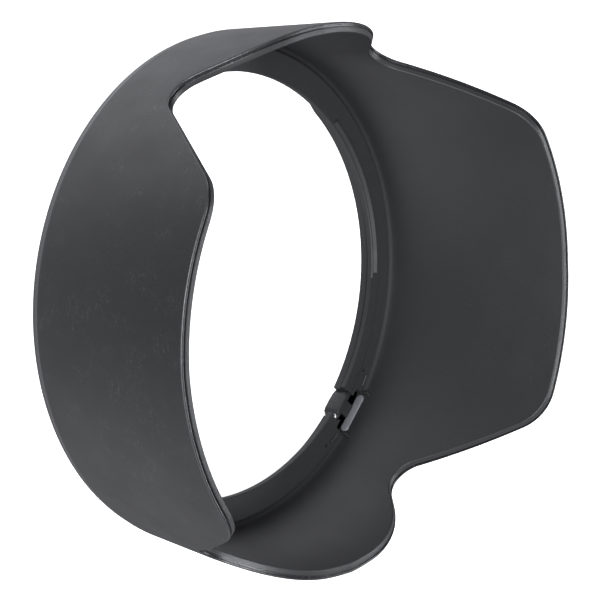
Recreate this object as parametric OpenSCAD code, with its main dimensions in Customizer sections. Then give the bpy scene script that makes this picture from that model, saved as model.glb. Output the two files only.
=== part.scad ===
/* [Mount collar] */
// Radius of the collar bore that slides over the front rim of the lens
collar_bore_r = 40.2; // [40:0.05:40.3]
// Wall thickness of the collar tube
collar_wall = 1.2; // [1.1:0.05:1.2]
// Inner radius of the floor ring that stops against the front of the lens
floor_bore_r = 38.1; // [37.8:0.1:38.2]
// Outer radius of the floor ring
floor_outer_r = 43.1; // [43:0.05:43.15]
// Height of the mouth side of the floor ring above the rear face
floor_z = 3.6; // [3.5:0.05:3.8]
// Thickness of the floor ring
floor_thick = 1.2; // [1.1:0.05:1.3]
// Radius that the bayonet lugs reach inwards to
lug_r = 39; // [38.8:0.1:39.1]
// Thickness of a bayonet lug along the lens axis
lug_thick = 1.5; // [1.2:0.1:1.6]
// Angle from a large petal's middle to the plain end of a lug
lug_end_angle = 51; // [46:1:56]

/* [Petal shell] */
// Thickness of the petal wall
wall = 1.85; // [1.7:0.05:1.9]
// Outer radius of the shell where the cone leaves the shoulder
cone_base_r = 45.6; // [45.5:0.1:46.4]
// Growth of the outer radius for each millimetre of height
cone_flare = 0.086; // [0.06:0.002:0.12]
// Height of a large petal's top edge at its middle
large_top_z = 41.6; // [38:0.2:45]
// Height at which the edges of a large petal's corner would meet
large_corner_z = 42.2; // [39:0.2:45.6]
// Angle of a large petal's corner from the petal's middle
large_corner_angle = 34.5; // [32:0.5:36]
// Rounding radius of a large petal's corner
large_corner_round = 9; // [6:0.5:10]
// Angle of the notch between a large and a small petal
notch_angle = 57; // [56:0.5:58]
// Height at which the edges of the notch would meet
notch_z = 16.2; // [14:0.2:18]
// Rounding radius of the notch
notch_round = 5.5; // [4:0.5:6]
// Height of a small petal's top at its middle
small_top_z = 29.8; // [28:0.2:32]

/* [Click catch] */
// Angle of the right catch around the lens axis
catch_angle = -45; // [-46:0.5:-44]
// Width of a catch along the collar
catch_width = 5.2; // [4.8:0.1:5.4]
// Radius of the tip of a catch at rest
catch_tip_r = 39.1; // [39:0.05:39.2]
// Distance that a catch gives outwards
catch_travel = 0.5; // [0.4:0.05:0.5]
// Radius of a stop pin
pin_r = 0.45; // [0.4:0.01:0.5]
// Length of the leaf spring
leaf_length = 7.9; // [7.6:0.1:8]
// Width of the leaf spring's strip, along the lens axis
leaf_height = 1.65; // [1.5:0.05:1.8]
// Thickness of the leaf spring's strip
leaf_thick = 0.3; // [0.2:0.01:0.3]

/* [Index mark] */
// Radius of the inlaid index dot
dot_r = 1; // [0.6:0.1:1.4]
// Height of the index dot above the rear face
dot_z = 9; // [7:0.5:14]
// Depth of the index dot in the wall
dot_depth = 0.4; // [0.3:0.05:0.6]

/* [Hidden] */
$fn = 180;

black_plastic = "#26272a";
grey_plastic = "#333437";
spring_steel = "#a9abb0";
paint = "#e8e8e4";

// Shoulder and collar of the shell
shell_rear_z = 0.3;
shell_rear_r = 42.3;
shoulder_z = 3.3;
shoulder_r = cone_base_r - 0.4;
cone_base_z = 5;
seat_z = floor_z - floor_thick;
seat_gap = 0.1;
shell_bore_r = collar_bore_r + collar_wall + seat_gap;
wall_foot_r = outer_r(cone_base_z) - wall;
shell_top_z = large_corner_z + 1;

// Outline of the petals, unrolled: distance around the wall, height above the rear face
unroll_r = 47.5;
small_corner_angle = 72.75;
small_corner_drop = 1.1;
small_corner_round = 24;
arc_steps = 10;
large_top = [0, large_top_z];
large_corner = [arc_length(large_corner_angle), large_corner_z];
notch = [arc_length(notch_angle), notch_z];
small_corner = [arc_length(small_corner_angle), small_top_z - small_corner_drop];
small_top = [arc_length(90), small_top_z];
notch_centre = round_centre(large_corner, notch, small_corner, notch_round);
notch_floor_z = notch_centre[1] - notch_round;
reach = 60;

// Raised ribs, shallow recess and pits on the floor ring: angles from and to, or angle and radius
edge_bevel = 0.3;
lug_ramp_angle = 7;
lug_ramp_lean = atan2(collar_bore_r - lug_r * cos(lug_ramp_angle), lug_r * sin(lug_ramp_angle));
long_rib = [-7, 40.5];
long_rib_outer_r = 39.5;
long_rib_crest = 0.35;
long_rib_height = 0.45;
recess = [-42, -8.5];
recess_outer_r = 40.3;
recess_depth = 0.2;
short_ribs = [[-37.6, -34.6], [-55.3, -52]];
short_rib_r = 42;
short_rib_width = 0.5;
short_rib_height = 0.45;
rib_bevel = 0.15;
pits = [[-33.8, 41], [-56.7, 41.6]];
pit_r = 0.35;
pit_depth = 0.6;

// Click catch and its window, in a frame whose X runs outwards through the catch
side_gap = 0.15;
catch_half = catch_width / 2;
window_half = catch_half + side_gap;
catch_foot_z = 0.2;
catch_top_z = floor_z + 0.1;
catch_step_z = seat_z + side_gap;
catch_block_back = 40.2;
neck_half = 1.3;
neck_top_z = floor_z - 0.3;
window_back = 40.85;
leaf_x = 42.7;
leaf_z = 3;
leaf_foot = 0.75;
leaf_foot_height = 0.7;
neck_back = leaf_x - leaf_thick / 2 - 0.02;
leaf_window_inner = 40.9;
leaf_window_half = leaf_length / 2 + 0.4;
keeper_thick = 0.35;
keeper_inner = 42.3;
keeper_outer = 44;
keeper_low_z = floor_z + 0.1;
keeper_high_z = 5.2;
pin_x = 39.3;
pin_y = -window_half - 0.1;
pin_top_z = floor_z + 0.3;
pin_play = 0.03;
relief_x = 40;

function outer_r(z) = cone_base_r + cone_flare * (z - cone_base_z);
function inner_r(z) = outer_r(z) - wall;
function mean_r(z) = outer_r(z) - wall / 2;
function arc_length(angle) = angle * PI / 180 * unroll_r;
function turn(distance) = distance / unroll_r * 180 / PI;

// Rounding of a corner b between points a and c of an outline
function unit(v) = v / norm(v);
function bend(a, b, c) = acos(unit(a - b) * unit(c - b));
function round_centre(a, b, c, r) = b + unit(unit(a - b) + unit(c - b)) * r / sin(bend(a, b, c) / 2);
function touch(a, b, c, r) = b + unit(a - b) * r / tan(bend(a, b, c) / 2);
function heading(v) = atan2(v[1], v[0]);
function arc(centre, r, from, to) = [
    for (i = [0:arc_steps])
        let (a = from + (to - from) * i / arc_steps)
        centre + r * [cos(a), sin(a)]
];
function rounded(a, b, c, r) =
    let (centre = round_centre(a, b, c, r))
    arc(centre, r, heading(touch(a, b, c, r) - centre), heading(touch(c, b, a, r) - centre));

// Half of the edge of a large petal and of a small petal, each from the notch to its middle
large_edge = concat(
    arc(notch_centre, notch_round, -90,
        heading(touch(large_corner, notch, small_corner, notch_round) - notch_centre)),
    rounded(notch, large_corner, large_top, large_corner_round),
    [large_top]
);
small_edge = concat(
    arc(notch_centre, notch_round, -90,
        heading(touch(small_corner, notch, large_corner, notch_round) - notch_centre)),
    rounded(notch, small_corner, small_top, small_corner_round),
    [small_top]
);

// The same edges seen square on: sideways distance from the petal's middle, height
large_side = [for (p = large_edge) [mean_r(p[1]) * sin(turn(p[0])), p[1]]];
small_side = [for (p = small_edge) [mean_r(p[1]) * cos(turn(p[0])), p[1]]];

module petal_prism(side) {
    far_side = [for (i = [len(side) - 2:-1:0]) [-side[i][0], side[i][1]]];
    foot = [[-side[0][0], -1], [side[0][0], -1]];
    linear_extrude(height = 2 * reach, center = true) polygon(concat(side, far_side, foot));
}

// Everything that lies below the petals' edge
module below_petal_edge() {
    rotate([90, 0, 90]) petal_prism(large_side);
    rotate([90, 0, 0]) petal_prism(small_side);
    translate([0, 0, -1]) cylinder(r = reach, h = notch_floor_z + 1);
}

module shell_body() {
    rotate_extrude() polygon([
        [shell_bore_r, shell_rear_z],
        [shell_rear_r, shell_rear_z],
        [shoulder_r, shoulder_z],
        [cone_base_r, cone_base_z],
        [outer_r(shell_top_z), shell_top_z],
        [inner_r(shell_top_z), shell_top_z],
        [wall_foot_r, cone_base_z],
        [wall_foot_r - 0.15, seat_z + 0.6],
        [wall_foot_r - 0.45, seat_z],
        [shell_bore_r, seat_z]
    ]);
}

// Places a round dot square on the wall, from its depth in the wall outwards
module index_dot(height) {
    translate([outer_r(dot_z), 0, dot_z]) rotate([0, 90 - atan(cone_flare), 0])
        translate([0, 0, -dot_depth]) cylinder(r = dot_r, h = height, $fn = 48);
}

// Short walls that keep the ends of one leaf spring, inside the shell's foot
module spring_keepers() {
    for (side = [-1, 1])
        translate([
            (keeper_inner + keeper_outer) / 2,
            side * (leaf_window_half + keeper_thick / 2),
            (keeper_low_z + keeper_high_z) / 2
        ])
            cube([keeper_outer - keeper_inner, keeper_thick, keeper_high_z - keeper_low_z], center = true);
}

// Outer moulding with two large and two small petals
module petal_shell() {
    color(black_plastic) difference() {
        union() {
            intersection() {
                shell_body();
                below_petal_edge();
            }
            on_right() spring_keepers();
            on_left() spring_keepers();
        }
        index_dot(dot_depth + 1);
    }
}

module ring_arc(inner, outer, low, high, from, to, bevel = 0) {
    rotate([0, 0, from]) rotate_extrude(angle = to - from) polygon([
        [inner, low],
        [outer, low],
        [outer, high - bevel],
        [outer - bevel, high],
        [inner + bevel, high],
        [inner, high - bevel]
    ]);
}

// Rib that rises from the bore's edge to a narrow crest
module sloped_rib(from, to) {
    rotate([0, 0, from]) rotate_extrude(angle = to - from) polygon([
        [floor_bore_r, floor_z - edge_bevel],
        [long_rib_outer_r, floor_z - edge_bevel],
        [long_rib_outer_r, floor_z + long_rib_height - rib_bevel],
        [long_rib_outer_r - rib_bevel, floor_z + long_rib_height],
        [long_rib_outer_r - rib_bevel - long_rib_crest, floor_z + long_rib_height]
    ]);
}

// Bayonet lug whose plain end is ramped from the collar down to the lug's radius
module bayonet_lug() {
    difference() {
        ring_arc(lug_r, collar_bore_r + 0.1, 0, lug_thick, catch_angle, lug_end_angle);
        rotate([0, 0, lug_end_angle]) translate([collar_bore_r, 0, -1])
            rotate([0, 0, -lug_ramp_lean]) translate([-3, -10, 0]) cube([3, 20, lug_thick + 2]);
    }
}

// Opening in the ring for one catch, its spring and its pin
module catch_window() {
    translate([floor_bore_r - 2, -window_half, -1])
        cube([window_back - floor_bore_r + 2, 2 * window_half, floor_z + 2]);
    translate([leaf_window_inner, -leaf_window_half, seat_z])
        cube([4, 2 * leaf_window_half, floor_z]);
    translate([window_back - 1, -window_half, seat_z]) cube([2, 2 * window_half, floor_z]);
    translate([pin_x, pin_y, seat_z]) cylinder(r = pin_r, h = floor_z, $fn = 32);
    translate([relief_x, -window_half, seat_z + pit_depth]) cylinder(r = pin_r, h = floor_z, $fn = 32);
}

// Inner moulding with the collar, the floor ring, the ribs and the bayonet lugs
module bayonet_ring() {
    color(grey_plastic) difference() {
        union() {
            rotate_extrude() polygon([
                [collar_bore_r, 0],
                [collar_bore_r + collar_wall, 0],
                [collar_bore_r + collar_wall, seat_z],
                [floor_outer_r, seat_z],
                [floor_outer_r, floor_z - edge_bevel],
                [floor_outer_r - edge_bevel, floor_z],
                [floor_bore_r + edge_bevel / 2, floor_z],
                [floor_bore_r, floor_z - edge_bevel / 2],
                [floor_bore_r, seat_z],
                [collar_bore_r, seat_z]
            ]);
            for (side = [0, 180]) rotate([0, 0, side]) {
                bayonet_lug();
                sloped_rib(long_rib[0], long_rib[1]);
                for (ends = short_ribs)
                    ring_arc(short_rib_r - short_rib_width / 2, short_rib_r + short_rib_width / 2,
                        floor_z - 0.1, floor_z + short_rib_height, ends[0], ends[1], rib_bevel);
            }
        }
        for (side = [0, 180]) rotate([0, 0, side]) {
            rotate([0, 0, catch_angle]) catch_window();
            ring_arc(floor_bore_r - 1, recess_outer_r, floor_z - recess_depth, floor_z + 1,
                recess[0], recess[1]);
            for (pit = pits)
                rotate([0, 0, pit[0]]) translate([pit[1], 0, floor_z - pit_depth])
                    cylinder(r = pit_r, h = 1, $fn = 24);
        }
    }
}

// Sliding catch: a steep end, a gentle ramp at the other end, and a neck that meets the spring
module catch_block() {
    color(grey_plastic) difference() {
        union() {
            translate([0, 0, catch_foot_z]) linear_extrude(height = catch_top_z - catch_foot_z)
                polygon([
                    [catch_tip_r + 0.8, -catch_half],
                    [catch_tip_r + 0.2, -catch_half + 0.4],
                    [catch_tip_r, -catch_half + 1.1],
                    [catch_tip_r, 0],
                    [catch_tip_r + 0.1, catch_half - 1],
                    [catch_tip_r + 0.4, catch_half],
                    [catch_block_back, catch_half],
                    [catch_block_back, -catch_half]
                ]);
            translate([catch_block_back - 1, -neck_half, catch_step_z])
                cube([neck_back - catch_block_back + 1, 2 * neck_half, neck_top_z - catch_step_z]);
        }
        translate([pin_x - pin_r - catch_travel - pin_play, pin_y - 1, seat_z - 0.2])
            cube([2 * pin_r + catch_travel + 2 * pin_play, 1 + pin_r + pin_play, 3]);
    }
}

// Leaf spring: a straight strip with round ends, and a foot behind each end that bears on the shell
module leaf_spring() {
    end_r = leaf_height / 2;
    straight_half = leaf_length / 2 - end_r;
    color(spring_steel) translate([leaf_x, 0, leaf_z + end_r]) {
        rotate([0, 90, 0]) translate([0, 0, -leaf_thick / 2]) linear_extrude(height = leaf_thick) {
            translate([-end_r, -straight_half]) square([leaf_height, 2 * straight_half]);
            for (end = [-1, 1]) translate([0, end * straight_half]) circle(r = end_r, $fn = 48);
        }
        for (end = [-1, 1])
            translate([0, end * straight_half - leaf_thick / 2, -leaf_foot_height / 2])
                cube([leaf_foot, leaf_thick, leaf_foot_height]);
    }
}

module stop_pin() {
    color(spring_steel) translate([pin_x, pin_y, seat_z])
        cylinder(r = pin_r, h = pin_top_z - seat_z, $fn = 32);
}

module on_right() {
    rotate([0, 0, catch_angle]) children();
}

module on_left() {
    rotate([0, 0, catch_angle + 180]) children();
}

module index_mark() {
    color(paint) index_dot(dot_depth);
}

petal_shell();
bayonet_ring();
on_right() catch_block();  // catch_right
on_left() catch_block();  // catch_left
on_right() leaf_spring();  // leaf_spring_right
on_left() leaf_spring();  // leaf_spring_left
on_right() stop_pin();  // stop_pin_right
on_left() stop_pin();  // stop_pin_left
index_mark();
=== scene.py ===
import math

import bpy
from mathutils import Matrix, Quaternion, Vector


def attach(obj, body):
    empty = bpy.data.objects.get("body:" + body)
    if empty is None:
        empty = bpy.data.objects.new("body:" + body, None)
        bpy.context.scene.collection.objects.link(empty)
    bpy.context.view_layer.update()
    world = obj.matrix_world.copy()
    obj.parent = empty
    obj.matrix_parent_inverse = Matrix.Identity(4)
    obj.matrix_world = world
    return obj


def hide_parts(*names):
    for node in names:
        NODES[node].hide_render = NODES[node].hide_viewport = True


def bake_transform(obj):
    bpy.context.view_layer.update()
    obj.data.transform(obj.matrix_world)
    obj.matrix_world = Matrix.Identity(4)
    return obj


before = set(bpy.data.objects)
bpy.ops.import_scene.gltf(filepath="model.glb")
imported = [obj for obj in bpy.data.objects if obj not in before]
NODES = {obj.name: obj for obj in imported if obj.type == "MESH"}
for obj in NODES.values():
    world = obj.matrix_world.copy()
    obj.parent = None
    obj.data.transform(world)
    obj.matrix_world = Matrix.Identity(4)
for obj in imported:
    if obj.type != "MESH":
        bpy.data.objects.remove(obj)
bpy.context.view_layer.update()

MM = 0.001

# Cone of the petal wall, and the number of columns of faces around it
WALL = 1.85 * MM
CONE_BASE_R = 45.6 * MM
CONE_BASE_Z = 5.0 * MM
CONE_FLARE = 0.086
SHOULDER_FLARE = 0.59
CONE_TOP_Z = 43.0 * MM
COLUMNS = 960

# Places closer than this count as the same, and corners closer than this are merged
NEAR = 0.01 * MM
DOUBLES = 0.002 * MM

# Shoulder and collar below the cone: height and radius of each turn of the profile
OUTER_FOOT = [(3.3, 45.2), (1.5, 43.6), (0.3, 42.3), (0.3, 41.5)]
INNER_FOOT = [(4.0, 43.66), (3.62, 43.47), (3.2, 43.3), (2.7, 43.14), (2.4, 43.14), (2.4, 41.5)]

# Outline of the petals on the unrolled wall: angle from a large petal's middle, height, rounding
UNROLL_R = 47.5
LARGE_TOP = (0.0, 41.6)
LARGE_CORNER = (34.5, 42.2)
LARGE_CORNER_ROUND = 9.0
NOTCH = (57.0, 16.2)
NOTCH_ROUND = 5.5
SMALL_CORNER = (72.75, 28.7)
SMALL_CORNER_ROUND = 24.0
SMALL_TOP = (90.0, 29.8)
ARC_STEPS = 24

# Stepped rim: distance of each side of the groove from the wall's outer face
GROOVE_FROM = 0.52 * MM
GROOVE_TO = 0.8 * MM
GROOVE_DEPTH = 0.24 * MM
GROOVE_HALF = 0.1 * MM
OUTER_EDGE_ROUND = 0.3 * MM
GROOVE_EDGE_ROUND = 0.06 * MM
INNER_EDGE_ROUND = 0.2 * MM

# Click catches, in millimetres in a frame whose X runs outwards through the catch
CATCHES = {"right": -45, "left": 135}
CATCH_LOW, CATCH_HIGH = 0.2, 3.7
CATCH_PROFILE = [
    (39.78, -2.6), (39.78, -2.37), (39.55, -2.37), (39.3, -2.2), (39.1, -1.5), (39.1, 0),
    (39.2, 1.6), (39.5, 2.6), (40.2, 2.6), (40.2, -2.6),
]
NECK_LOW, NECK_HIGH = (39.4, -1.3, 2.55), (42.53, 1.3, 3.3)
LEAF_X, LEAF_LOW, LEAF_HEIGHT, LEAF_HALF, LEAF_THICK = 42.7, 3.0, 1.65, 3.95, 0.3
LEAF_MIDDLE = LEAF_LOW + LEAF_HEIGHT / 2
LEAF_STRAIGHT = LEAF_HALF - LEAF_HEIGHT / 2
LEAF_ENDS = {"rear": -1, "front": 1}
LEAF_END_SHARE = 0.98
LEAF_CUTS, LEAF_CUT_STEP = 9, 0.31
FOOT_REACH, FOOT_HALF = 0.75, 0.35
PIN_PLACE, PIN_R, PIN_LOW, PIN_HIGH = (39.3, -2.85), 0.45, 2.4, 3.9
KEEPER_X, KEEPER_Y, KEEPER_LOW, KEEPER_HIGH = (42.3, 44), (4.35, 4.7), 3.7, 5.2
DOT_Z, DOT_R, DOT_DEPTH, DOT_PROUD = 9.0, 1.0, 0.3, 0.03
DOT_EDGE, DOT_RISE = 0.12, 0.02
# Rounding of the edges of blocks, catches, springs, their feet and the pins
BLOCK_ROUND, CATCH_ROUND, LEAF_ROUND, FOOT_ROUND, PIN_DOME = 0.08, 0.11, 0.07, 0.05, 0.3


# ---------------------------------------------------------------- working in edit mode

def deselect_all():
    bpy.ops.object.select_all(action="DESELECT")


def work_on(obj):
    deselect_all()
    obj.select_set(True)
    bpy.context.view_layer.objects.active = obj


def select_where(obj, kind, test):
    """In edit mode, selects the vertices, edges or faces of obj for which test is true."""
    bpy.ops.object.mode_set(mode="EDIT")
    bpy.ops.mesh.select_mode(type=kind)
    bpy.ops.mesh.select_all(action="DESELECT")
    bpy.ops.object.mode_set(mode="OBJECT")
    mesh = obj.data
    parts = {"VERT": mesh.vertices, "EDGE": mesh.edges, "FACE": mesh.polygons}[kind]
    for part in parts:
        part.select = test(part)
    bpy.ops.object.mode_set(mode="EDIT")


def centre_of(obj, part):
    points = [obj.data.vertices[i].co for i in part.vertices]
    return sum(points, Vector()) / len(points)


def extrude_ring(obj, from_r, to_r, from_z, to_z):
    """Extrudes the selected level ring of edges to another radius and height."""
    bpy.ops.mesh.extrude_region_move(TRANSFORM_OT_translate={"value": (0, 0, to_z - from_z)})
    share = to_r / from_r
    bpy.ops.transform.resize(value=(share, share, 1), center_override=(0, 0, 0))


def bridge_open_edges(obj, wanted, cuts):
    """Joins the open edges whose middles pass the test wanted, with that many cuts across."""
    uses = {}
    for face in obj.data.polygons:
        for key in face.edge_keys:
            uses[key] = uses.get(key, 0) + 1
    select_where(obj, "EDGE", lambda edge: uses[edge.key] == 1 and wanted(centre_of(obj, edge)))
    bpy.ops.mesh.bridge_edge_loops(number_cuts=cuts)
    bpy.ops.object.mode_set(mode="OBJECT")


def close_up(obj):
    """Merges doubles, then turns every face outwards."""
    bpy.ops.object.mode_set(mode="EDIT")
    bpy.ops.mesh.select_all(action="SELECT")
    bpy.ops.mesh.remove_doubles(threshold=DOUBLES)
    bpy.ops.mesh.normals_make_consistent(inside=False)
    bpy.ops.object.mode_set(mode="OBJECT")


def smooth(obj, angle):
    work_on(obj)
    bpy.ops.object.shade_smooth_by_angle(angle=math.radians(angle))


# ---------------------------------------------------------------- outline of the petals

def unrolled(point):
    angle, height = point
    return Vector((math.radians(angle) * UNROLL_R, height))


def rounded_corner(before, corner, after, radius):
    """Points of the arc that rounds a corner of the outline."""
    a, b, c = unrolled(before), unrolled(corner), unrolled(after)
    to_a, to_c = (a - b).normalized(), (c - b).normalized()
    half = math.acos(to_a.dot(to_c)) / 2
    centre = b + (to_a + to_c).normalized() * radius / math.sin(half)
    start = b + to_a * radius / math.tan(half) - centre
    end = b + to_c * radius / math.tan(half) - centre
    turn = start.angle_signed(end)
    first = math.atan2(start.y, start.x)
    arc = []
    for step in range(ARC_STEPS + 1):
        heading = first - turn * step / ARC_STEPS
        arc.append(centre + radius * Vector((math.cos(heading), math.sin(heading))))
    return arc


def petal_outline():
    """Quarter of the petals' edge, from a large petal's middle to a small petal's middle."""
    points = [unrolled(LARGE_TOP)]
    points += rounded_corner(LARGE_TOP, LARGE_CORNER, NOTCH, LARGE_CORNER_ROUND)
    points += rounded_corner(LARGE_CORNER, NOTCH, SMALL_CORNER, NOTCH_ROUND)
    points += rounded_corner(NOTCH, SMALL_CORNER, SMALL_TOP, SMALL_CORNER_ROUND)
    points.append(unrolled(SMALL_TOP))
    return points


def edge_height(outline, angle):
    """Height of the petals' edge at an angle around the hood."""
    folded = abs((math.degrees(angle) + 90) % 180 - 90)
    along = math.radians(folded) * UNROLL_R
    for low, high in zip(outline, outline[1:]):
        if low.x <= along <= high.x and high.x > low.x:
            return low.lerp(high, (along - low.x) / (high.x - low.x)).y * MM
    return outline[-1].y * MM


# ---------------------------------------------------------------- petal shell

def cone_r(z):
    return CONE_BASE_R + CONE_FLARE * (z - CONE_BASE_Z)


def cone_wall(name, inset):
    """Open cone whose columns are cut to the petals' edge, inset from the wall's outer face."""
    bpy.ops.mesh.primitive_cone_add(
        vertices=COLUMNS,
        radius1=CONE_BASE_R - inset,
        radius2=cone_r(CONE_TOP_Z) - inset,
        depth=CONE_TOP_Z - CONE_BASE_Z,
        end_fill_type="NOTHING",
        location=(0, 0, (CONE_TOP_Z + CONE_BASE_Z) / 2),
    )
    wall = bpy.context.object
    wall.name = name
    bpy.ops.object.transform_apply(location=True, rotation=True, scale=True)
    outline = petal_outline()
    for point in wall.data.vertices:
        if on_petals(point.co):
            height = edge_height(outline, math.atan2(point.co.y, point.co.x))
            share = (cone_r(height) - inset) / point.co.xy.length
            point.co = (point.co.x * share, point.co.y * share, height)
    return wall


def foot_profile(obj, base_r, turns):
    """Runs the profile of the shoulder down from the open lower ring of a cone wall."""
    select_where(obj, "VERT", lambda v: v.co.z < CONE_BASE_Z + NEAR)
    ring_r, ring_z = base_r, CONE_BASE_Z
    for z, r in turns:
        extrude_ring(obj, ring_r, r * MM, ring_z, z * MM)
        ring_r, ring_z = r * MM, z * MM
    bpy.ops.object.mode_set(mode="OBJECT")


def inset_of(point):
    return cone_r(point.z) - point.xy.length


def on_petals(point):
    """True above the shoulder."""
    return point.z > CONE_BASE_Z + MM


def near(value, wanted):
    return abs(value - wanted) < NEAR


def rim_bands(obj):
    """Runs the open top edge inwards: the outer land, then the band that becomes the groove."""
    for inset, next_inset in ((0, GROOVE_FROM), (GROOVE_FROM, GROOVE_TO)):
        select_where(obj, "VERT", lambda v: on_petals(v.co) and near(inset_of(v.co), inset))
        bpy.ops.mesh.extrude_region_move()
        bpy.ops.object.mode_set(mode="OBJECT")
        for point in obj.data.vertices:
            if point.select:
                share = (cone_r(point.co.z) - next_inset) / point.co.xy.length
                point.co = (point.co.x * share, point.co.y * share, point.co.z)


def rim_edges(obj, inset):
    """Selects the edges that run around the rim at a distance from the wall's outer face."""
    corners = obj.data.vertices
    select_where(obj, "EDGE", lambda edge: all(
        on_petals(corners[i].co) and near(inset_of(corners[i].co), inset)
        for i in edge.vertices
    ))


def step_rim(obj):
    """Cuts the groove into the rim and rounds its edges."""
    rim_edges(obj, 0)
    bpy.ops.mesh.bevel(offset=OUTER_EDGE_ROUND, segments=4)
    bpy.ops.object.mode_set(mode="OBJECT")
    rim_edges(obj, WALL)
    bpy.ops.mesh.bevel(offset=INNER_EDGE_ROUND, segments=3)
    bpy.ops.object.mode_set(mode="OBJECT")
    middle = (GROOVE_FROM + GROOVE_TO) / 2
    select_where(obj, "FACE", lambda face: (
        on_petals(face.center) and abs(inset_of(face.center) - middle) < GROOVE_HALF
    ))
    bpy.ops.mesh.extrude_region_shrink_fatten(
        TRANSFORM_OT_shrink_fatten={"value": -GROOVE_DEPTH, "use_even_offset": True}
    )
    bpy.ops.object.mode_set(mode="OBJECT")


def normals_by_edge(obj):
    """Normals of the faces on each edge."""
    normals = {}
    for face in obj.data.polygons:
        for key in face.edge_keys:
            normals.setdefault(key, []).append(face.normal.copy())
    return normals


def is_sharp(normals):
    return len(normals) == 2 and normals[0].dot(normals[1]) < 0.5


def soften_groove(obj):
    """Rounds the sharp edges along both sides of the groove."""
    on_groove = {
        v.index for v in obj.data.vertices
        if on_petals(v.co)
        and (near(inset_of(v.co), GROOVE_FROM) or near(inset_of(v.co), GROOVE_TO))
    }
    normals = normals_by_edge(obj)
    select_where(obj, "EDGE", lambda edge: (
        all(i in on_groove for i in edge.vertices) and is_sharp(normals[edge.key])
    ))
    bpy.ops.mesh.bevel(offset=GROOVE_EDGE_ROUND, segments=2)
    bpy.ops.object.mode_set(mode="OBJECT")


def block(name, low, high, rounding):
    """Box with rounded edges between two corners given in millimetres."""
    deselect_all()
    bpy.ops.mesh.primitive_cube_add(size=1)
    box = bpy.context.object
    box.name = name
    box.scale = [(b - a) * MM for a, b in zip(low, high)]
    box.location = [(b + a) / 2 * MM for a, b in zip(low, high)]
    bpy.ops.object.transform_apply(location=True, rotation=True, scale=True)
    bpy.ops.object.mode_set(mode="EDIT")
    bpy.ops.mesh.select_all(action="SELECT")
    if rounding:
        bpy.ops.mesh.bevel(offset=rounding * MM, segments=3)
    bpy.ops.object.mode_set(mode="OBJECT")
    return box


def at_each_catch(models):
    """Copies pieces modelled on the X axis to each catch, by name, and removes the models."""
    copies = {}
    for side, angle in CATCHES.items():
        for name, model in models.items():
            twin = model.copy()
            twin.data = model.data.copy()
            twin.name = name.format(side)
            bpy.context.collection.objects.link(twin)
            work_on(twin)
            twin.rotation_euler = (0, 0, math.radians(angle))
            bpy.ops.object.transform_apply(location=True, rotation=True, scale=True)
            copies[twin.name] = twin
    for model in models.values():
        mesh = model.data
        bpy.data.objects.remove(model)
        bpy.data.meshes.remove(mesh)
    return copies


def join(first, others):
    deselect_all()
    for obj in [first, *others]:
        obj.select_set(True)
    bpy.context.view_layer.objects.active = first
    bpy.ops.object.join()
    return first


def petal_shell():
    deselect_all()
    outside = cone_wall("petal_shell_moulding", 0)
    foot_profile(outside, CONE_BASE_R, OUTER_FOOT)
    rim_bands(outside)
    deselect_all()
    inside = cone_wall("inside", WALL)
    foot_profile(inside, CONE_BASE_R - WALL, INNER_FOOT)
    shell = join(outside, [inside])
    bridge_open_edges(shell, on_petals, 2)
    bridge_open_edges(shell, lambda place: place.z < CONE_BASE_Z - MM, 0)
    close_up(shell)
    step_rim(shell)
    soften_groove(shell)
    close_up(shell)
    keepers = {}
    for end, hand in LEAF_ENDS.items():
        ends = sorted(hand * y for y in KEEPER_Y)
        low = (KEEPER_X[0], ends[0], KEEPER_LOW)
        high = (KEEPER_X[1], ends[1], KEEPER_HIGH)
        keepers["keeper_{}_" + end] = block("keeper", low, high, BLOCK_ROUND)
    return join(shell, at_each_catch(keepers).values())


shell = petal_shell()
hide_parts("petal_shell")
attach(shell, "hood")


# ---------------------------------------------------------------- catches, springs, pins, dot

def catch_block():
    """Block with rounded edges and the neck that reaches the spring."""
    deselect_all()
    bpy.ops.mesh.primitive_circle_add(vertices=len(CATCH_PROFILE), fill_type="NGON")
    body = bpy.context.object
    for point, (x, y) in zip(body.data.vertices, CATCH_PROFILE):
        point.co = (x * MM, y * MM, CATCH_LOW * MM)
    bpy.ops.object.mode_set(mode="EDIT")
    bpy.ops.mesh.select_all(action="SELECT")
    rise = (CATCH_HIGH - CATCH_LOW) * MM
    bpy.ops.mesh.extrude_region_move(TRANSFORM_OT_translate={"value": (0, 0, rise)})
    bpy.ops.object.mode_set(mode="OBJECT")
    close_up(body)
    bpy.ops.object.mode_set(mode="EDIT")
    bpy.ops.mesh.select_all(action="SELECT")
    bpy.ops.mesh.bevel(offset=CATCH_ROUND * MM, segments=3)
    bpy.ops.object.mode_set(mode="OBJECT")
    neck = block("neck", NECK_LOW, NECK_HIGH, BLOCK_ROUND)
    join(body, [neck])
    smooth(body, 40)
    return body


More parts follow.
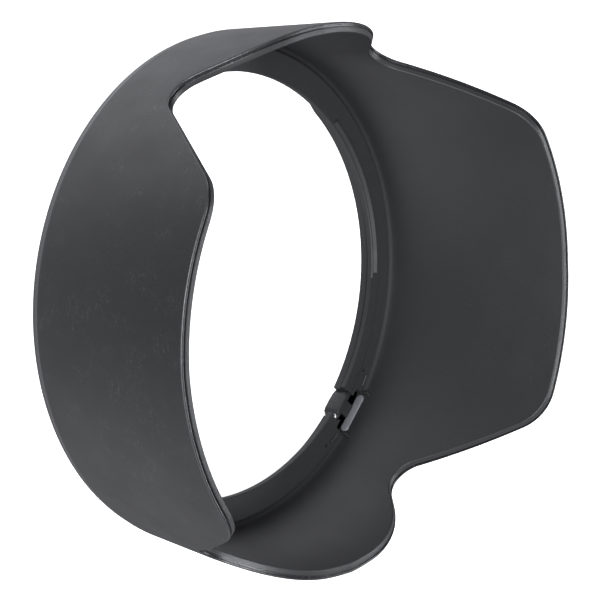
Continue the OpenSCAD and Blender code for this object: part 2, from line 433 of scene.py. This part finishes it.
def spring_half(hand):
    """Half of a leaf spring, from its middle to the round end on one hand, with its foot."""
    ends = sorted((0, hand * LEAF_HALF))
    low = (LEAF_X - LEAF_THICK / 2, ends[0], LEAF_LOW)
    high = (LEAF_X + LEAF_THICK / 2, ends[1], LEAF_LOW + LEAF_HEIGHT)
    half = block("half", low, high, 0)
    tip = hand * LEAF_HALF * MM
    corners = half.data.vertices
    select_where(half, "EDGE", lambda edge: (
        all(near(corners[i].co.y, tip) for i in edge.vertices)
        and near(corners[edge.vertices[0]].co.z, corners[edge.vertices[1]].co.z)
    ))
    bpy.ops.mesh.bevel(offset=LEAF_HEIGHT / 2 * LEAF_END_SHARE * MM, segments=10)
    bpy.ops.object.mode_set(mode="OBJECT")
    normals = normals_by_edge(half)
    select_where(half, "EDGE", lambda edge: (
        abs(centre_of(half, edge).y) > NEAR and is_sharp(normals[edge.key])
    ))
    bpy.ops.mesh.bevel(offset=LEAF_ROUND * MM, segments=3)
    bpy.ops.object.mode_set(mode="OBJECT")
    for step in range(1, LEAF_CUTS + 1):
        bpy.ops.object.mode_set(mode="EDIT")
        bpy.ops.mesh.select_all(action="SELECT")
        bpy.ops.mesh.bisect(
            plane_co=(0, hand * LEAF_CUT_STEP * step * MM, 0), plane_no=(0, 1, 0)
        )
        bpy.ops.object.mode_set(mode="OBJECT")
    straight = hand * LEAF_STRAIGHT
    foot = block(
        "foot",
        (LEAF_X, straight - LEAF_THICK / 2, LEAF_MIDDLE - FOOT_HALF),
        (LEAF_X + FOOT_REACH, straight + LEAF_THICK / 2, LEAF_MIDDLE + FOOT_HALF),
        FOOT_ROUND,
    )
    join(half, [foot])
    smooth(half, 35)
    return half


def stop_pin():
    """Turned pin with a domed head."""
    deselect_all()
    height = (PIN_HIGH - PIN_LOW) * MM
    bpy.ops.mesh.primitive_cylinder_add(
        vertices=32, radius=PIN_R * MM, depth=height,
        location=(PIN_PLACE[0] * MM, PIN_PLACE[1] * MM, PIN_LOW * MM + height / 2),
    )
    pin = bpy.context.object
    bpy.ops.object.transform_apply(location=True, rotation=True, scale=True)
    corners = pin.data.vertices
    select_where(pin, "EDGE", lambda edge: all(
        near(corners[i].co.z, PIN_HIGH * MM) for i in edge.vertices
    ))
    bpy.ops.mesh.bevel(offset=PIN_DOME * MM, segments=6)
    bpy.ops.object.mode_set(mode="OBJECT")
    smooth(pin, 60)
    return pin


def index_dot():
    """Disc of paint set into the wall, standing a little proud of it."""
    deselect_all()
    depth = DOT_DEPTH * MM
    wall_r = cone_r(DOT_Z * MM)
    bpy.ops.mesh.primitive_cylinder_add(
        vertices=64, radius=DOT_R * MM, depth=depth,
        location=(wall_r + DOT_PROUD * MM - depth / 2, 0, DOT_Z * MM),
        rotation=(0, math.pi / 2 - math.atan(CONE_FLARE), 0),
    )
    dot = bpy.context.object
    dot.name = "index_paint_dot"
    bpy.ops.object.transform_apply(location=True, rotation=True, scale=True)
    select_where(dot, "FACE", lambda face: face.normal.x > 0.9)
    bpy.ops.mesh.inset(thickness=DOT_EDGE * MM)
    bpy.ops.transform.translate(value=(DOT_RISE * MM, 0, 0))
    bpy.ops.object.mode_set(mode="OBJECT")
    smooth(dot, 50)
    return dot


catches = at_each_catch({"catch_block_{}": catch_block()})
for side in CATCHES:
    catch = catches["catch_block_" + side]
    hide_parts("catch_" + side)
    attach(catch, side + "_catch")

springs = at_each_catch({
    "leaf_spring_{}_" + end: spring_half(hand) for end, hand in LEAF_ENDS.items()
})
for side, angle in CATCHES.items():
    for end, hand in LEAF_ENDS.items():
        half = springs["leaf_spring_" + side + "_" + end]
        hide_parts("leaf_spring_" + side)
        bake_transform(half)

pins = at_each_catch({"turned_pin_{}": stop_pin()})
for side in CATCHES:
    pin = pins["turned_pin_" + side]
    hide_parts("stop_pin_" + side)
    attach(pin, "hood")

dot = index_dot()
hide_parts("index_mark")
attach(dot, "hood")


# ---------------------------------------------------------------- shader maths

class Nodes:
    """Node tree to which nodes are added by type, settings and inputs."""

    def __init__(self, tree):
        self.tree = tree

    def add(self, kind, settings, inputs):
        node = self.tree.nodes.new(kind)
        for name, value in settings.items():
            setattr(node, name, value)
        for name, value in inputs.items():
            self.link(value, node.inputs[name])
        return node.outputs

    def link(self, value, socket):
        if isinstance(value, Number):
            value = value.value
        if isinstance(value, bpy.types.NodeSocket):
            self.tree.links.new(value, socket)
        else:
            socket.default_value = value


class Number:
    """Number in a node tree; arithmetic on it adds Math nodes."""

    def __init__(self, tree, value):
        self.tree = tree
        self.value = value

    def maths(self, operation, *others):
        inputs = dict(enumerate((self.value, *others)))
        result = self.tree.add("ShaderNodeMath", {"operation": operation}, inputs)[0]
        return Number(self.tree, result)

    def __add__(self, other):
        return self.maths("ADD", other)

    def __sub__(self, other):
        return self.maths("SUBTRACT", other)

    def __mul__(self, other):
        return self.maths("MULTIPLY", other)

    def __pow__(self, other):
        return self.maths("POWER", other)

    def __rsub__(self, other):
        return Number(self.tree, other).maths("SUBTRACT", self)

    __radd__ = __add__
    __rmul__ = __mul__

    def at_least(self, other):
        return self.maths("MAXIMUM", other)

    def at_most(self, other):
        return self.maths("MINIMUM", other)

    def rises(self, low, high):
        """0 below low, 1 above high and a smooth slope between."""
        return Number(self.tree, self.tree.add(
            "ShaderNodeMapRange", {"interpolation_type": "SMOOTHSTEP"},
            {"Value": self, "From Min": low, "From Max": high},
        )["Result"])

    def falls(self, low, high):
        return 1 - self.rises(low, high)


# ---------------------------------------------------------------- camera, light and floor

# Camera: angles in degrees, lengths in millimetres
AZIMUTH, ELEVATION, ROLL = 162.47, 42.36, 98.91
AIM = (0.27, -0.29, 20.39)
DISTANCE = 409.57
LENS, SENSOR = 142.87, 36


def camera():
    """Looks down into the mouth past the near petal, turned so that a small petal is up."""
    azimuth, elevation, roll = map(math.radians, (AZIMUTH, ELEVATION, ROLL))
    back = Vector((
        math.cos(azimuth) * math.cos(elevation),
        math.sin(azimuth) * math.cos(elevation),
        math.sin(elevation),
    ))
    data = bpy.data.cameras.new("camera")
    data.lens = LENS
    data.sensor_width = SENSOR
    data.clip_start = 0.01
    eye = bpy.data.objects.new("camera", data)
    bpy.context.collection.objects.link(eye)
    eye.location = Vector(AIM) * MM + back * DISTANCE * MM
    level = back.to_track_quat("Z", "Y")
    eye.rotation_mode = "QUATERNION"
    eye.rotation_quaternion = level @ Quaternion((0, 0, 1), roll)
    bpy.context.scene.camera = eye


def floor():
    """Pale ground that only the camera sees, so that it neither lights nor shades the hood."""
    bpy.ops.mesh.primitive_plane_add(size=4, location=(0, 0, 0))
    ground = bpy.context.object
    ground.name = "floor"
    finish = bpy.data.materials.new("pale_floor")
    finish.use_nodes = True
    shader = finish.node_tree.nodes["Principled BSDF"]
    shader.inputs["Base Color"].default_value = (0.8, 0.8, 0.8, 1)
    shader.inputs["Roughness"].default_value = 0.9
    shader.inputs["Emission Color"].default_value = (1, 1, 1, 1)
    shader.inputs["Emission Strength"].default_value = 1
    ground.data.materials.append(finish)
    ground.visible_glossy = False
    ground.visible_diffuse = False
    ground.visible_shadow = False


# Soft light all around: direction that it comes from and strength
SOFT_LIGHTS = [
    ((-1, 0, 1), 1.5),
    ((0, 1, -1), 1.3),
    ((-1, -1, 0), 0.54),
    ((-1, -2, -2), 0.75),
    ((0, 0, 1), 0.24),
    ((1, 1, -1), 0.42),
    ((1, -1, 0.5), 0.7),
]
LIGHT_SOFTNESS = 4
FILL_LIGHT = 0.09
WORLD_COLOUR = (0.95, 0.96, 1.01, 1)

# Lamps: name, place and size in metres, power in watts
SOFT_BOXES = [
    ("key", (-0.65, 0.1, 0.7), (0.35, 0.5), 9),
    ("kicker", (0.7, -0.1, 0.62), (0.4, 0.3), 3.2),
    ("side", (0.6, 0.65, 0.2), (0.3, 0.5), 1.3),
]
LAMP_COLOUR = (0.95, 0.97, 1.0)


def soft_box(name, place, size, power):
    """Broad lamp that faces the hood."""
    data = bpy.data.lights.new(name, "AREA")
    data.shape = "RECTANGLE"
    data.size, data.size_y = size
    data.energy = power
    data.color = LAMP_COLOUR
    lamp = bpy.data.objects.new(name, data)
    bpy.context.collection.objects.link(lamp)
    lamp.location = place
    lamp.rotation_mode = "QUATERNION"
    lamp.rotation_quaternion = Vector(place).to_track_quat("Z", "Y")


def studio():
    """Tent of soft lights that fade into each other, and the lamps."""
    world = bpy.data.worlds.new("studio")
    bpy.context.scene.world = world
    world.use_nodes = True
    tree = Nodes(world.node_tree)
    around = tree.add("ShaderNodeTexCoord", {}, {})["Generated"]
    total = Number(tree, FILL_LIGHT)
    for direction, strength in SOFT_LIGHTS:
        facing = tree.add(
            "ShaderNodeVectorMath", {"operation": "DOT_PRODUCT"},
            {0: around, 1: Vector(direction).normalized()},
        )["Value"]
        total = total + Number(tree, facing).at_least(0) ** LIGHT_SOFTNESS * strength
    backdrop = world.node_tree.nodes["Background"]
    tree.link(total, backdrop.inputs["Strength"])
    backdrop.inputs["Color"].default_value = WORLD_COLOUR
    for name, place, size, power in SOFT_BOXES:
        soft_box(name, place, size, power)
    bpy.context.scene.view_settings.view_transform = "Standard"


# ---------------------------------------------------------------- materials

class Surface:
    """Material under construction, with places in millimetres from the hood's own origin."""

    def __init__(self, name):
        self.material = bpy.data.materials.new(name)
        self.material.use_nodes = True
        self.nodes = Nodes(self.material.node_tree)
        self.shader = self.material.node_tree.nodes["Principled BSDF"]
        place = self.nodes.add("ShaderNodeTexCoord", {}, {})["Object"]
        self.place = self.nodes.add(
            "ShaderNodeVectorMath", {"operation": "SCALE"}, {0: place, "Scale": 1 / MM}
        )["Vector"]
        split = self.nodes.add("ShaderNodeSeparateXYZ", {}, {0: self.place})
        self.x, self.y, self.z = (Number(self.nodes, split[i]) for i in range(3))
        self.radius = (self.x * self.x + self.y * self.y) ** 0.5

    def set(self, name, value):
        self.nodes.link(value, self.shader.inputs[name])

    def stretched(self, across, along):
        """Place whose height counts differently, for marks that run up or around."""
        return self.nodes.add(
            "ShaderNodeVectorMath", {"operation": "MULTIPLY"},
            {0: self.place, 1: (across, across, along)},
        )["Vector"]

    def noise(self, scale, detail=2, place=None):
        return Number(self.nodes, self.nodes.add(
            "ShaderNodeTexNoise", {},
            {"Vector": place or self.place, "Scale": scale, "Detail": detail},
        )[0])

    def specks(self, scale, size):
        """Round specks, one in some of the cells of that scale."""
        cells = self.nodes.add(
            "ShaderNodeTexVoronoi", {}, {"Vector": self.place, "Scale": scale},
        )
        few = self.noise(scale * 0.45, 1).rises(0.6, 0.63)
        return Number(self.nodes, cells["Distance"]).falls(size * 0.5, size) * few

    def blend(self, share, first, second):
        return self.nodes.add(
            "ShaderNodeMix", {"data_type": "RGBA"}, {0: share, 6: first, 7: second}
        )[2]

    def bump(self, height, distance):
        normal = self.nodes.add(
            "ShaderNodeBump", {}, {"Height": height, "Distance": distance * MM, "Strength": 1}
        )["Normal"]
        self.set("Normal", normal)


def grey(level):
    return (level, level * 1.01, level * 1.05, 1)


def shell_plastic():
    """Satin black outside, matte inside, with wear and a painted highlight along the rim's outer
    edge, hairlines and dust.
    """
    surface = Surface("shell_plastic")
    above = surface.z - CONE_BASE_Z / MM
    inset = CONE_BASE_R / MM + above * CONE_FLARE - surface.radius
    middle = (CONE_BASE_R - WALL / 2) / MM + (above * CONE_FLARE).at_most(
        above * SHOULDER_FLARE
    )
    outside = (surface.radius - middle).rises(-0.1, 0.1)
    # Mask along the rim's rounded outer edge: partly edge wear, partly a painted highlight
    worn = inset.falls(0.05, 0.3) * inset.rises(0.02, 0.05)
    cloud = surface.noise(0.12, 3)
    grain = surface.noise(5.5, 2)
    fine = surface.noise(14, 1)
    hairline = (surface.noise(0.35, 1, surface.stretched(1, 7)) - 0.5) ** 2
    scratched = hairline.falls(0.0, 0.00004) * surface.noise(0.2, 1).rises(0.48, 0.62) * outside
    dust = surface.specks(1.6, 0.16) * (surface.noise(0.15, 2).rises(0.45, 0.7) * 0.8 + 0.2)
    colour = surface.blend(outside, grey(0.023), grey(0.01))
    colour = surface.blend(grain.rises(0.3, 0.75) * 0.5, colour, grey(0.018))
    colour = surface.blend(dust * 0.35, colour, grey(0.2))
    colour = surface.blend(scratched * 0.4, colour, grey(0.16))
    # Lighter grey along the rim's outer edge: edge wear together with a painted highlight
    colour = surface.blend(worn * 0.45, colour, grey(0.1))
    surface.set("Base Color", colour)
    rim = inset.rises(0.02, 0.06) * inset.falls(WALL / MM - 0.01, WALL / MM + 0.05)
    rough = 0.6 - outside * 0.18 + (cloud - 0.5) * 0.2 - rim * 0.2 - scratched * 0.1
    surface.set("Roughness", rough)
    surface.bump(fine * 0.5 + grain, 0.03)
    return surface.material


def ring_plastic():
    """Matte black with moulding grain and dust, rubbed along the rear face."""
    surface = Surface("ring_plastic")
    grain = surface.noise(7, 2)
    rubbed = surface.z.falls(0.02, 0.2) * surface.noise(1.2, 3).rises(0.45, 0.65)
    dust = surface.specks(1.9, 0.16)
    colour = surface.blend(grain.rises(0.3, 0.75), grey(0.018), grey(0.027))
    colour = surface.blend(dust * 0.3, colour, grey(0.18))
    colour = surface.blend(rubbed * 0.4, colour, grey(0.06))
    surface.set("Base Color", colour)
    surface.set("Roughness", 0.56 + (surface.noise(0.5, 2) - 0.5) * 0.15 - rubbed * 0.15)
    surface.bump(grain, 0.025)
    return surface.material


def catch_plastic():
    """Smooth black with faint upright lines."""
    surface = Surface("catch_plastic")
    lines = surface.noise(0.8, 2, surface.stretched(9, 1))
    colour = surface.blend(lines.rises(0.35, 0.7), grey(0.014), grey(0.024))
    surface.set("Base Color", colour)
    surface.set("Roughness", 0.5 + (surface.noise(2, 2) - 0.5) * 0.15)
    surface.bump(lines, 0.01)
    return surface.material


def spring_steel():
    """Light grey rolled strip."""
    surface = Surface("spring_steel")
    rolled = surface.noise(2.2, 3, surface.stretched(0.6, 9))
    colour = surface.blend(rolled.rises(0.3, 0.7), (0.2, 0.2, 0.215, 1), (0.28, 0.28, 0.3, 1))
    surface.set("Base Color", colour)
    surface.set("Metallic", 0.25)
    surface.set("Roughness", 0.45 + (rolled - 0.5) * 0.2)
    surface.bump(rolled, 0.006)
    return surface.material


def pin_steel():
    """Bright turned steel."""
    surface = Surface("pin_steel")
    turned = surface.noise(6, 2)
    colour = surface.blend(turned, (0.75, 0.75, 0.77, 1), (0.92, 0.92, 0.93, 1))
    surface.set("Base Color", colour)
    surface.set("Metallic", 1)
    surface.set("Roughness", 0.16 + turned * 0.1)
    return surface.material


def index_paint():
    """White paint, worn in patches."""
    surface = Surface("index_paint")
    worn = surface.noise(3.2, 3).rises(0.55, 0.75)
    colour = surface.blend(worn * 0.5, (0.72, 0.72, 0.69, 1), (0.45, 0.45, 0.43, 1))
    surface.set("Base Color", colour)
    surface.set("Roughness", 0.45 + worn * 0.2)
    return surface.material


def finish_with(material, objects):
    for obj in objects:
        obj.data.materials.clear()
        obj.data.materials.append(material)


camera()
studio()
floor()
smooth(shell, 35)
finish_with(shell_plastic(), [shell])
finish_with(ring_plastic(), [NODES["bayonet_ring"]])
finish_with(catch_plastic(), catches.values())
finish_with(spring_steel(), springs.values())
finish_with(pin_steel(), pins.values())
finish_with(index_paint(), [dot])
